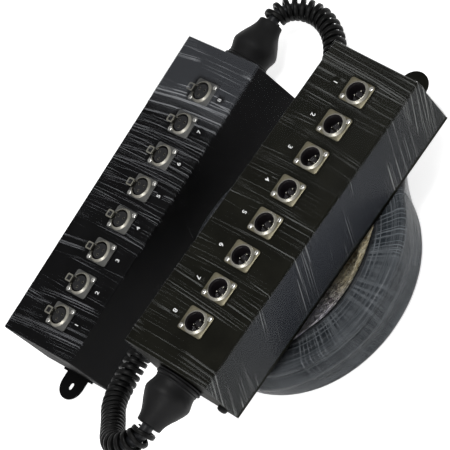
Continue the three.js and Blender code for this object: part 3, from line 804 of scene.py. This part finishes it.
def female_insert_mesh():
    """The nose with its three holes, and a metal sleeve in each."""
    nose = lathe("nose", [(8.0, INSERT_FOOT), (8.5, -16.5), (8.5, 2.7), (8.3, 3.1), (7.9, 3.3)], [])
    hole = lathe("hole", [(1.45, -3.7), (1.45, 3.0), (1.75, 3.6)], [], size=24)
    tube = [(1.42, -3.6), (1.42, 2.9), (0.95, 2.9), (0.95, -3.6)]
    sleeve = lathe("sleeve", tube, [], size=24, closed=True, capped=False)
    floor = lathe("floor", [(9.65, INSERT_FOOT), (9.65, -10)], [])
    places = contact_places()
    for place in places:
        nose = cut(nose, joined_mesh("hole", [(hole, place, 0)], []))
    parts = [(nose, STILL, 0), (floor, STILL, 0), *((sleeve, place, 1) for place in places)]
    return joined_mesh("female_insert", parts, ["socket_nose", "contact_metal"])


def male_insert_mesh():
    """The cup's floor and liner, with three round-tipped pins."""
    cup = [(9.7, INSERT_FOOT), (9.9, INSERT_FOOT), (9.9, 1.7), (9.75, 1.85), (9.55, 1.7), (9.5, -10),
           (9.3, -10.4), (8.6, -10.5)]
    pin = [(1.2, -11), (1.2, PIN_TIP - 1.0), (1.08, PIN_TIP - 0.5), (0.75, PIN_TIP - 0.13),
           (0.3, PIN_TIP)]
    cup, pin = lathe("floor", cup, []), lathe("pin", pin, [], 24)
    parts = [(cup, STILL, 0), *((pin, place, 1) for place in contact_places())]
    return joined_mesh("male_insert", parts, ["liner_and_bore_shade", "contact_metal"])


def latch_ring(inset, height, size=64):
    """One rounded rectangle of the release tab's plate."""
    corner = max(LATCH_CORNER - inset, 0.4)
    half_x, half_y = LATCH_HALF_X - inset, LATCH_HALF_Y - inset
    points = []
    for k in range(size):
        turn = tau * (k + 0.5) / size
        x, y = cos(turn), sin(turn)
        points.append((LATCH_CENTRE_X + copysign(half_x - corner, x) + corner * x,
                       copysign(half_y - corner, y) + corner * y, height))
    return np.array(points)


def latch_mesh():
    """A push plate with a raised edge round a ribbed dark pad, and the stem under it."""
    edge = [(0.35, 3.85), (0, 4.1), (0, 5.2), (0.2, 5.5), (0.55, 5.6), (1.5, 5.5), (1.75, 5.2),
            (1.8, 4.7)]
    plate = stacked("plate", [latch_ring(*row) for row in edge])
    pad = stacked("pad", [latch_ring(1.85, height) for height in (4.6, 4.95)])
    rib = block("rib", [(4.9, 0.45, 2.0), (5.45, 0.25, 2.0)])
    stem = block("stem", [(-9, 0.45, 3.1), (4.6, 0.45, 3.1)], LATCH_STEM_X)
    ribs = [(rib, shifted(LATCH_CENTRE_X + k * LATCH_RIB_STEP, 0), 1) for k in (-1, 0, 1)]
    return joined_mesh("release_tab", [(plate, STILL, 0), (pad, STILL, 1), (stem, STILL, 0), *ribs],
                       ["rim_metal", "black_plastic"])


def make_sockets():
    screw = make_screw_mesh()
    female_rings = open_for_latch(shell_rings(FEMALE_RIM, FEMALE_SHIFT))
    male_rings = shell_rings(MALE_RIM, 0)
    meshes = {
        "stage": (shell_with_screws("female_shell", female_rings, "stage_nickel", FEMALE_SHIFT,
                                    screw, FEMALE_DARK_RING), female_insert_mesh()),
        "desk": (shell_with_screws("male_shell", male_rings, "desk_nickel", 0, screw, MALE_DARK_RING),
                 male_insert_mesh()),
    }
    tab = latch_mesh()
    for label, (shell, insert) in meshes.items():
        for number in SOCKETS:
            place = panel_place(label, ROW_X[label], socket_y(number))
            add_piece(f"{label}_panel_socket_{number}", shell, place,
                      stands_for=(f"{label}_socket_shell_{number}",))
            add_piece(f"{label}_contacts_{number}", insert, place,
                      stands_for=(f"{label}_socket_insert_{number}",))
            if label == "stage":
                add_piece(f"release_tab_plate_{number}", tab, place,
                          body=f"release_tab_{number}", stands_for=(f"stage_latch_{number}",))


# Numbers beside the sockets: upright towards the sockets, as on the real boxes

NUMBER_X = {"stage": 35.5, "desk": 25.0}
NUMBER_SIZE = 0.0072
INK_THICKNESS = 0.00004
INK_SPREAD = 0.0001  # makes the digits bolder
INK_HEIGHT = 0.08  # above the panel, in millimetres


def digit_mesh(number):
    text = bpy.data.curves.new("digit", "FONT")
    text.body, text.size, text.extrude = str(number), NUMBER_SIZE, INK_THICKNESS
    text.align_x, text.align_y, text.offset = "CENTER", "CENTER", INK_SPREAD
    holder = new_object("digit", text)
    mesh = evaluated_mesh(holder)
    bpy.data.objects.remove(holder)
    mesh.materials.clear()
    return mesh


def make_numbers(label):
    turn = Matrix.Rotation(pi / 2, 4, "Z")
    height = BOX_DEPTH + INK_HEIGHT
    parts = [(digit_mesh(number), shifted(NUMBER_X[label], socket_y(number), height) @ turn, 0)
             for number in SOCKETS]
    mesh = joined_mesh(f"{label}_numbers", parts, ["white_ink"])
    add_piece(f"{label}_numbers", mesh, PLACES[label])


# Casing: finished copies of the CAD sheet metal, with rounded folds

FOLD_EDGE_DEGREES = 30
WELD_DISTANCE = 0.00001
NEAR = 0.1  # millimetres from an outside face
LIP_TOP = 0.02  # a cover's edges below this keep sharp, in metres
TAB_FROM = 0.1795  # the tab starts this far along the base plate, in metres
COVER_ROUND = 1.7
TAB_ROUND = 0.35


def rounded_copy(name, new_name, label, radius, wanted, segments=3):
    """A copy of a CAD node with its wanted edges rounded."""
    work = bmesh.new()
    work.from_mesh(frame["nodes"][name].data)
    bmesh.ops.remove_doubles(work, verts=work.verts, dist=WELD_DISTANCE)
    bmesh.ops.transform(work, matrix=PLACES[label].inverted(), verts=work.verts)
    edges = [edge for edge in work.edges if len(edge.link_faces) == 2
             and edge.calc_face_angle(0) > radians(FOLD_EDGE_DEGREES) and wanted(edge)]
    bmesh.ops.bevel(work, geom=edges, offset=radius * MM, segments=segments, profile=0.5,
                    affect="EDGES", clamp_overlap=True)
    mesh = bpy.data.meshes.new(new_name)
    work.to_mesh(mesh)
    work.free()
    finish_mesh(mesh, 35, [f"{label}_paint"])
    piece = add_piece(new_name, mesh, PLACES[label], stands_for=(name,))
    piece.modifiers.new("even_faces", "WEIGHTED_NORMAL").keep_sharp = True


def outer_fold(edge):
    """True for the cover's outside edges, apart from its open rim."""
    for vert in edge.verts:
        x, y, z = (abs(value) / MM for value in vert.co)
        outside = x > BOX_WIDTH / 2 - NEAR, y > BOX_LENGTH / 2 - NEAR, z > BOX_DEPTH - NEAR
        if sum(outside) < 2:
            return False
    return max(vert.co.z for vert in edge.verts) > LIP_TOP


def tab_edge(edge):
    return all(vert.co.y < -TAB_FROM for vert in edge.verts)


def make_casing(label):
    rounded_copy(f"{label}_cover", f"{label}_casing", label, COVER_ROUND, outer_fold)
    rounded_copy(f"{label}_base_plate", f"{label}_back_plate", label, TAB_ROUND, tab_edge, 2)
    looks = {"gland": "black_plastic", "gland_nut": "black_plastic", "loom": "jacket"}
    for name, look in looks.items():
        mesh = frame["nodes"][f"{label}_{name}"].data
        mesh.materials.clear()
        mesh.materials.append(LOOKS[look])


# Stretch film, the packing that the photograph shows. Sizes in metres as far as the box films

COIL_STEPS = 300
FILM_STEPS = 132
FILM_GAP = 0.0005  # film above the cable
FILM_SINK = 0.0006  # how far it sinks between two loops
FILM_CREASE = 0.00035
FILM_LEAST_HEIGHT = 0.0002
RAY_DIRECTIONS = 240
LEAST_FACING = 0.1
LOOP_MARGIN = 0.02
LEAD_WRAPPED = [radians(degrees) for degrees in (COIL_START_DEGREES, 93)]
LEAD_WRAPPED_BELOW = 0.0565  # the film takes the desk lead in between these angles, below this
COIL_MEAN_RADIUS = 0.11
COIL_SECTION_RADIUS = 0.03
COIL_FOLDS = 0.10


def smooth_ring(values, axis, passes):
    for _ in range(passes):
        values = (values + np.roll(values, 1, axis) + np.roll(values, -1, axis)) / 3
    return values


def hump(distance, width, power=2):
    """1 where there is no distance, and near 0 beyond the width."""
    return np.exp(-(distance / width) ** power)


def ramp(value, start, length):
    """0 up to the start, and from there up to 1 over the length."""
    return np.clip((value - start) / length, 0, 1)


def signed(angle):
    return np.remainder(angle + pi, tau) - pi


def film_section(angle, centre, turns, lead):
    """How far the film is from the section's centre, for each direction round it. The lead's
    (angle, radius, height) columns give the stretch of it that the film takes in."""
    first = (radians(COIL_START_DEGREES) - angle) / tau
    loops = first + np.arange(-1, COIL_TURNS + 2)
    loops = loops[(loops > -LOOP_MARGIN) & (loops < COIL_TURNS + LOOP_MARGIN)]
    radius, height = coil_loops(np.clip(loops, 0, COIL_TURNS))
    if lead[0, 0] <= angle <= lead[0, -1]:
        radius = np.append(radius, np.interp(angle, lead[0], lead[1]))
        height = np.append(height, np.interp(angle, lead[0], lead[2]))
    x, y = radius - centre[0], height - centre[1]
    tube = CABLE_RADIUS + FILM_GAP
    across, up = np.cos(turns)[:, None], np.sin(turns)[:, None]
    ahead, aside = x * across + y * up, y * across - x * up
    reach = np.sqrt(np.maximum(tube ** 2 - aside ** 2, 0))
    loop_edge = np.where(np.abs(aside) < tube, ahead + reach, 0).max(1)
    rays = turns_round(RAY_DIRECTIONS)
    support = (x[:, None] * np.cos(rays) + y[:, None] * np.sin(rays)).max(0) + tube
    facing = np.cos(turns[:, None] - rays)
    hull = np.where(facing > LEAST_FACING, support / np.maximum(facing, LEAST_FACING), 1).min(1)
    return hull - np.minimum(hull - loop_edge, FILM_SINK)


def wrapped_lead(lead):
    """The desk lead's (angle, radius, height) columns round the coil's centre, under the film."""
    x, y = lead[:, 0] - COIL_CENTRE[0], lead[:, 1] - COIL_CENTRE[1]
    angle = np.arctan2(y, x)
    near = (angle > LEAD_WRAPPED[0]) & (angle < LEAD_WRAPPED[1]) & (lead[:, 2] < LEAD_WRAPPED_BELOW)
    return np.stack([angle, np.hypot(x, y), lead[:, 2]])[:, near][:, ::-1]


def coil_film_points(lead):
    """The film round the coil: a ring of sections, open along its lapped seam underneath."""
    angles = turns_round(COIL_STEPS)
    turns = radians(-90) + np.linspace(0, tau, FILM_STEPS + 1)[:-1]
    middle = (COIL_LAYERS - 1) / 2 * COIL_LAYER_PITCH + CABLE_RADIUS
    centre = COIL_RADIUS - COIL_RADIAL_PITCH * COIL_TURNS / COIL_LAYERS / 2, middle
    wrapped = wrapped_lead(lead)
    reach = np.array([film_section(angle, centre, turns, wrapped) for angle in angles])
    reach = smooth_ring(smooth_ring(reach, 0, 6), 1, 2)
    crumple = np.random.default_rng(SEED).normal(size=reach.shape)
    crumple = smooth_ring(smooth_ring(crumple, 0, 5), 1, 2)
    reach = reach + np.clip(crumple / np.abs(crumple).max(), -1, 1) * FILM_CREASE
    out = centre[0] + reach * np.cos(turns)
    height = np.maximum(centre[1] + reach * np.sin(turns), FILM_LEAST_HEIGHT)
    x = COIL_CENTRE[0] + out * np.cos(angles)[:, None]
    points = np.stack([x, COIL_CENTRE[1] + out * np.sin(angles)[:, None], height], 2)
    return points, angles, turns


def set_point_values(mesh, sheet, haze, folds):
    """The attributes that a film's material reads."""
    mesh.attributes.new("sheet", "FLOAT_VECTOR", "POINT").data.foreach_set("vector", sheet.ravel())
    for name, values in (("haze", haze), ("folds", folds)):
        mesh.attributes.new(name, "FLOAT", "POINT").data.foreach_set("value", values.ravel())


EYE_HEIGHT = 0.030
EYE_WALL_DEGREES = 26  # where the film meets the coil's inner wall, above level
EYE_LIFT = 0.0007  # film on film
EYE_SHADE_BORDER = 0.007  # clear border of the coil's film beyond its edge, where the black cable shows as a painted shade band
EYE_RINGS = 60  # before it goes up the inner wall
EYE_SLACK_RINGS = 58  # of these crumple freely
EYE_CRUMPLE = 0.0014
LAP_CRUMPLE = 0.0001
EYE_EDGE_RADIUS = 0.0895
EYE_EDGE_WIDER = 0.0115  # at 45 degrees to both sides of its middle
EYE_EDGE_MOST = 0.103
EYE_EDGE_TURN = radians(5)
COIL_HAZE = 0.38
AWAY_HAZE = 0.18  # more, on the side away from the boxes
AWAY_ANGLE = 0.7
NEAR_PAINTED_SHADE = 0.85  # less, on the side towards the stage box, where the black cable shows as painted shade


def eye_edge(angles):
    """The radius of the eye film's lapped edge, wider towards both ends of the part that shows."""
    turned = signed(angles + EYE_EDGE_TURN)
    wider = EYE_EDGE_WIDER * (turned / radians(45)) ** 2
    return np.minimum(EYE_EDGE_RADIUS + wider, EYE_EDGE_MOST)


def coil_cover(points, angles):
    """The coil film's haze: clear along the eye film's edge and thin towards the stage box, so that
    the black cable shows there as painted shade; denser away from the boxes.
    """
    out = np.hypot(points[..., 0] - COIL_CENTRE[0], points[..., 1] - COIL_CENTRE[1])
    cover = COIL_HAZE + AWAY_HAZE * hump(signed(angles - AWAY_ANGLE), 0.7)
    # Thin haze towards the stage box: painted shade
    cover = cover * (1 - NEAR_PAINTED_SHADE * hump(angles - pi, 0.75))
    # Cleared along the eye film's edge: a painted shade band
    return cover[:, None] * ramp(out, eye_edge(angles)[:, None], EYE_SHADE_BORDER) ** 2


def make_coil_film(points, angles, turns):
    rings, size = points.shape[:2]
    faces = open_grid(rings, size, closed=True)
    mesh = new_mesh("coil_film", points.reshape(-1, 3), faces, ["coil_film"], 180, scale=1)
    flat = np.zeros(points.shape)
    flat[..., 0] = (np.minimum(angles, tau - angles) * COIL_MEAN_RADIUS)[:, None]
    flat[..., 1] = turns * COIL_SECTION_RADIUS
    set_point_values(mesh, flat, coil_cover(points, angles), np.full(points.shape[:2], COIL_FOLDS))
    film = add_piece("coil_film", mesh)


def make_eye_film(ring, angles):
    """Crumpled film across the eye of the coil: slack in its middle, up the inner wall and over
    the innermost loops. The ring is the coil's film."""
    random = np.random.default_rng(SEED + 1)
    from_centre = ring - np.array((*COIL_CENTRE, 0))
    out, height = np.hypot(from_centre[..., 0], from_centre[..., 1]), ring[..., 2]
    inside = np.arange(FILM_STEPS) * 360 / FILM_STEPS - 90
    wall_steps = np.flatnonzero((inside > 90) & (inside < 180 - EYE_WALL_DEGREES))[::-1]
    edge = eye_edge(angles)
    wall_out, wall_rise = out[:, wall_steps[0]], height[:, wall_steps[0]] - EYE_HEIGHT
    rows = [(wall_out * share, EYE_HEIGHT + wall_rise * share ** 2)
            for share in np.linspace(0.02, 0.99, EYE_RINGS)]
    for step in wall_steps:
        turn = radians(inside[step])
        lapped = np.minimum(out[:, step], edge) + EYE_LIFT * cos(turn)
        rows.append((lapped, height[:, step] + EYE_LIFT * sin(turn)))
    out, height = (np.array(values) for values in zip(*rows))
    crumple = smooth_ring(random.normal(size=out.shape), 1, 2)
    slack = np.arange(len(rows)) < EYE_SLACK_RINGS
    crumple *= np.where(slack, EYE_CRUMPLE, LAP_CRUMPLE)[:, None]
    x = COIL_CENTRE[0] + out * np.cos(angles)
    y = COIL_CENTRE[1] + out * np.sin(angles)
    points = np.stack([x, y, height + crumple], 2).reshape(-1, 3)
    mesh = new_mesh("eye_film", points, rings_to_faces(*out.shape), ["eye_film"], 180, scale=1)
    film = add_piece("eye_film", mesh)
# Box films, in millimetres of a box's own axes

TENT_TOP = 6.5  # film above the panel where the sockets lift it
TENT_REACH = {"stage": (-20.5, 15.5), "desk": (-16.0, 16.0)}  # from the row's centre
TENT_SIDE_MARGIN = 2
TENT_PAST_SOCKET = 14
TENT_END_MARGIN = 1
SIDE_GAP = 0.7
SIDE_FOOT = 5
FOLD_RADIUS = 2.2
SIDE_POINTS = 26
PANEL_POINTS = 48
FILM_ROWS = 181
FILM_PAST_END = 0.6
WRINKLE = 0.35
SIDE_LEAN = {"stage": -0.40, "desk": 0.36}  # how far the sides' streaks lean towards the cable end
SIDE_FOLDS = {"stage": -0.13, "desk": -0.07}
CLEAR_SHIFT = {"stage": 4.5, "desk": -3.5}  # clear places lie a little off the sockets below them
SOCKET_CLEAR_HALF = (16.5, 14)
NUMBER_CLEAR_RADIUS = 4
# The stage panel's haze towards the cable end: film layers and a painted reflection of light.
STAGE_END_HAZE_AND_SHEEN, STAGE_HAZE_FROM, STAGE_HAZE_RISE = 0.34, 88, 30
STAGE_SIDE_HAZE = 0.02
DESK_HAZE, DESK_HAZE_RISE = 0.06, 170
DESK_SIDE_HAZE, DESK_SIDE_PAINTED_LIGHT = 0.62, 0.25  # at its middle, and how much less at its ends; the thicker middle is painted light against the coil's shade there
FOLDED_GAP, GAP_HALF = 0.10, 9  # streaks between two sockets
FOLDED_END, END_FROM, END_RISE = 0.12, 140, 25
FOLDED_MIDDLE, MIDDLE_Y, MIDDLE_HALF = 0.13, 45, 62  # on the stage box only


def film_profile():
    """Points (distance along the film, x, height) across a box, from foot to foot."""
    wall, top = BOX_WIDTH / 2 + SIDE_GAP, BOX_DEPTH + SIDE_GAP
    half = [(wall, z) for z in np.linspace(SIDE_FOOT, top - FOLD_RADIUS, SIDE_POINTS)]
    for a in np.linspace(0, pi / 2, 5)[1:]:
        half.append((wall - FOLD_RADIUS + FOLD_RADIUS * cos(a),
                     top - FOLD_RADIUS + FOLD_RADIUS * sin(a)))
    flat = np.linspace(wall - FOLD_RADIUS, FOLD_RADIUS - wall, PANEL_POINTS)[1:-1]
    line = np.array([*half, *((x, top) for x in flat), *((-x, z) for x, z in half[::-1])])[::-1]
    far = np.concatenate([[0], np.cumsum(np.hypot(*np.diff(line, axis=0).T))])
    return np.column_stack([far - far[-1] / 2, line])


def plateau(value, low, high, edge):
    """1 from low to high, and from there down to 0 at both edges."""
    return np.clip(np.minimum((value + edge) / (low + edge), (edge - value) / (edge - high)), 0, 1)


def tent_height(label, x, y):
    """How far the sockets lift the film off the panel."""
    low, high = (ROW_X[label] + reach for reach in TENT_REACH[label])
    across = plateau(x, low, high, BOX_WIDTH / 2 - TENT_SIDE_MARGIN)
    first, last = socket_y(SOCKETS[0]) - TENT_PAST_SOCKET, socket_y(SOCKETS[-1]) + TENT_PAST_SOCKET
    return TENT_TOP * across * plateau(y, first, last, BOX_LENGTH / 2 - TENT_END_MARGIN)


def over_sockets(label, x, y):
    """1 over the sockets and their numbers, 0 away from them."""
    x = x - CLEAR_SHIFT[label]
    half_x, half_y = SOCKET_CLEAR_HALF
    sockets = hump(x - ROW_X[label], half_x, 8) * sum(
        hump(y - socket_y(number), half_y, 8) for number in SOCKETS)
    numbers = hump(x - NUMBER_X[label], NUMBER_CLEAR_RADIUS, 4) * sum(
        hump(y - socket_y(number), NUMBER_CLEAR_RADIUS, 4) for number in SOCKETS)
    return np.maximum(sockets, numbers)


def film_cover(label, x, y, on_side):
    """The share of a surface that the film's haze hides. Towards the stage box's cable end it is
    partly the film's layers and partly a painted reflection of light; on the desk box's sides it is
    film, with painted light in their middle."""
    clear = over_sockets(label, x, y)
    if label == "stage":
        # Rises towards the cable end: film layers and a painted reflection of light
        panel = STAGE_END_HAZE_AND_SHEEN * ramp(y, STAGE_HAZE_FROM, STAGE_HAZE_RISE) * (1 - 0.9 * clear)
        return np.where(on_side, STAGE_SIDE_HAZE * ramp(y, 10, 130), panel)
    panel = DESK_HAZE * ramp(-y, 0, DESK_HAZE_RISE) * (1 - clear)
    # Thicker in the sides' middle: painted light against the shade of the coil
    return np.where(on_side, DESK_SIDE_HAZE - DESK_SIDE_PAINTED_LIGHT * np.abs(y) / BOX_LENGTH * 2, panel)


def film_folds(label, x, y, on_side):
    """Streaks gather on the panel between the sockets, and at the ends of panel and sides."""
    row = [socket_y(number) for number in SOCKETS]
    gaps = sum(hump(y - (a + b) / 2, GAP_HALF) for a, b in zip(row, row[1:]))
    ends = ramp(np.abs(y), END_FROM, END_RISE)
    middle = tab_half = 0
    if label == "stage":
        ends = ends * np.where(y > 0, 0.6, 0.2)
        middle = hump(y - MIDDLE_Y, MIDDLE_HALF)
        tab_half = 0.2 * ramp(-y, 0, 40)
    panel = FOLDED_GAP * gaps + FOLDED_END * ends + FOLDED_MIDDLE * middle
    panel = panel - 0.25 * over_sockets(label, x, y) - 0.05
    return np.where(on_side, SIDE_FOLDS[label] + 0.10 * ends - tab_half, panel)


def make_box_film(label):
    profile = film_profile()
    end = BOX_LENGTH / 2 + FILM_PAST_END
    y = np.linspace(-end, end, FILM_ROWS)[:, None]
    far, x, height = (column[None] * np.ones_like(y) for column in profile.T)
    y = y * np.ones_like(x)
    random = np.random.default_rng(SEED + 2)
    wrinkle = smooth_ring(smooth_ring(random.normal(size=x.shape), 1, 9), 0, 1)
    wrinkle = WRINKLE * wrinkle / np.abs(wrinkle).max()
    on_top = height > BOX_DEPTH
    lifted = height + np.where(on_top, tent_height(label, x, y) + wrinkle, 0)
    x = x + np.where(on_top, 0, np.sign(x) * np.abs(wrinkle))
    points = np.stack([x, y, lifted], 2).reshape(-1, 3)
    mesh = new_mesh(f"{label}_film", points, open_grid(*x.shape), [f"{label}_film"], 180)
    on_side = height < BOX_DEPTH - 2
    leaned = y - SIDE_LEAN[label] * np.maximum(BOX_DEPTH - height, 0)
    set_point_values(mesh, np.stack([far, leaned, 0 * y], 2) * MM,
                     film_cover(label, x, y, on_side), film_folds(label, x, y, on_side))
    film = add_piece(f"{label}_film", mesh, PLACES[label])
# Rubber buffer at the foot of each box's cable end

BUFFER_X = -42
BUFFER_HEIGHT = 12
BUFFER_OUTLINE = [(5.4, 0), (5.4, 1.6), (5.2, 2.8), (4.5, 3.9), (3.2, 4.6), (1.5, 4.9), (0.3, 5.0)]


def make_buffer(label):
    mesh = lathe(f"{label}_end_buffer", BUFFER_OUTLINE, ["rubber"], size=32)
    place = PLACES[label] @ shifted(BUFFER_X, BOX_LENGTH / 2, BUFFER_HEIGHT) @ TO_CABLE_END
    add_piece(f"{label}_end_buffer", mesh, place)


# Light, floor and world, in metres

FLOOR_HALF = 6
FLOOR_TOP = -0.0004
LIGHT_TARGET = (0.15, 0.02, 0.05)
LIGHT_SIZE = 0.6
WORLD_LIGHT = (0.45, 1.0)  # on the object, and as the camera sees it


def make_floor():
    sides = (-1, -1), (1, -1), (1, 1), (-1, 1)
    corners = [(x * FLOOR_HALF, y * FLOOR_HALF, FLOOR_TOP) for x, y in sides]
    mesh = new_mesh("floor", corners, [(0, 1, 2, 3)], ["pale_floor"], scale=1)
    new_object("floor", mesh)


def make_light(name, direction, distance, power):
    data = bpy.data.lights.new(name, "AREA")
    data.shape, data.size, data.energy = "DISK", LIGHT_SIZE, power
    direction = Vector(direction).normalized()
    light = new_object(name, data)
    light.location = Vector(LIGHT_TARGET) + direction * distance
    light.rotation_mode = "QUATERNION"
    light.rotation_quaternion = direction.to_track_quat("Z", "Y")


def make_world():
    sky = Nodes(bpy.data.worlds.new("studio"), "Background")
    seen = sky.add("LightPath").outputs["Is Camera Ray"]
    sky.feed(Color=WHITE, Strength=sky.spread(seen, 0, 1, *WORLD_LIGHT))
    bpy.context.scene.world = sky.owner


# Build

make_camera()
stage_lead, coil, desk_lead = cable_paths()
cable = make_cable(stage_lead, coil, desk_lead)
spirals = [make_spiral("stage", stage_lead), make_spiral("desk", desk_lead)]
boots = [make_boot(label) for label in PLACES]
make_sockets()
for label in PLACES:
    make_casing(label)
    make_numbers(label)
    make_buffer(label)

ring, angles, turns = coil_film_points(desk_lead)
make_coil_film(ring, angles, turns)
make_eye_film(ring, angles)
for label in PLACES:
    make_box_film(label)

make_floor()
make_world()
make_light("key", (0.2, 0.15, 0.95), distance=1.6, power=10.5)
make_light("fill", (0.40, -0.65, 0.65), distance=1.7, power=7.5)
bpy.context.scene.view_settings.view_transform = "Standard"
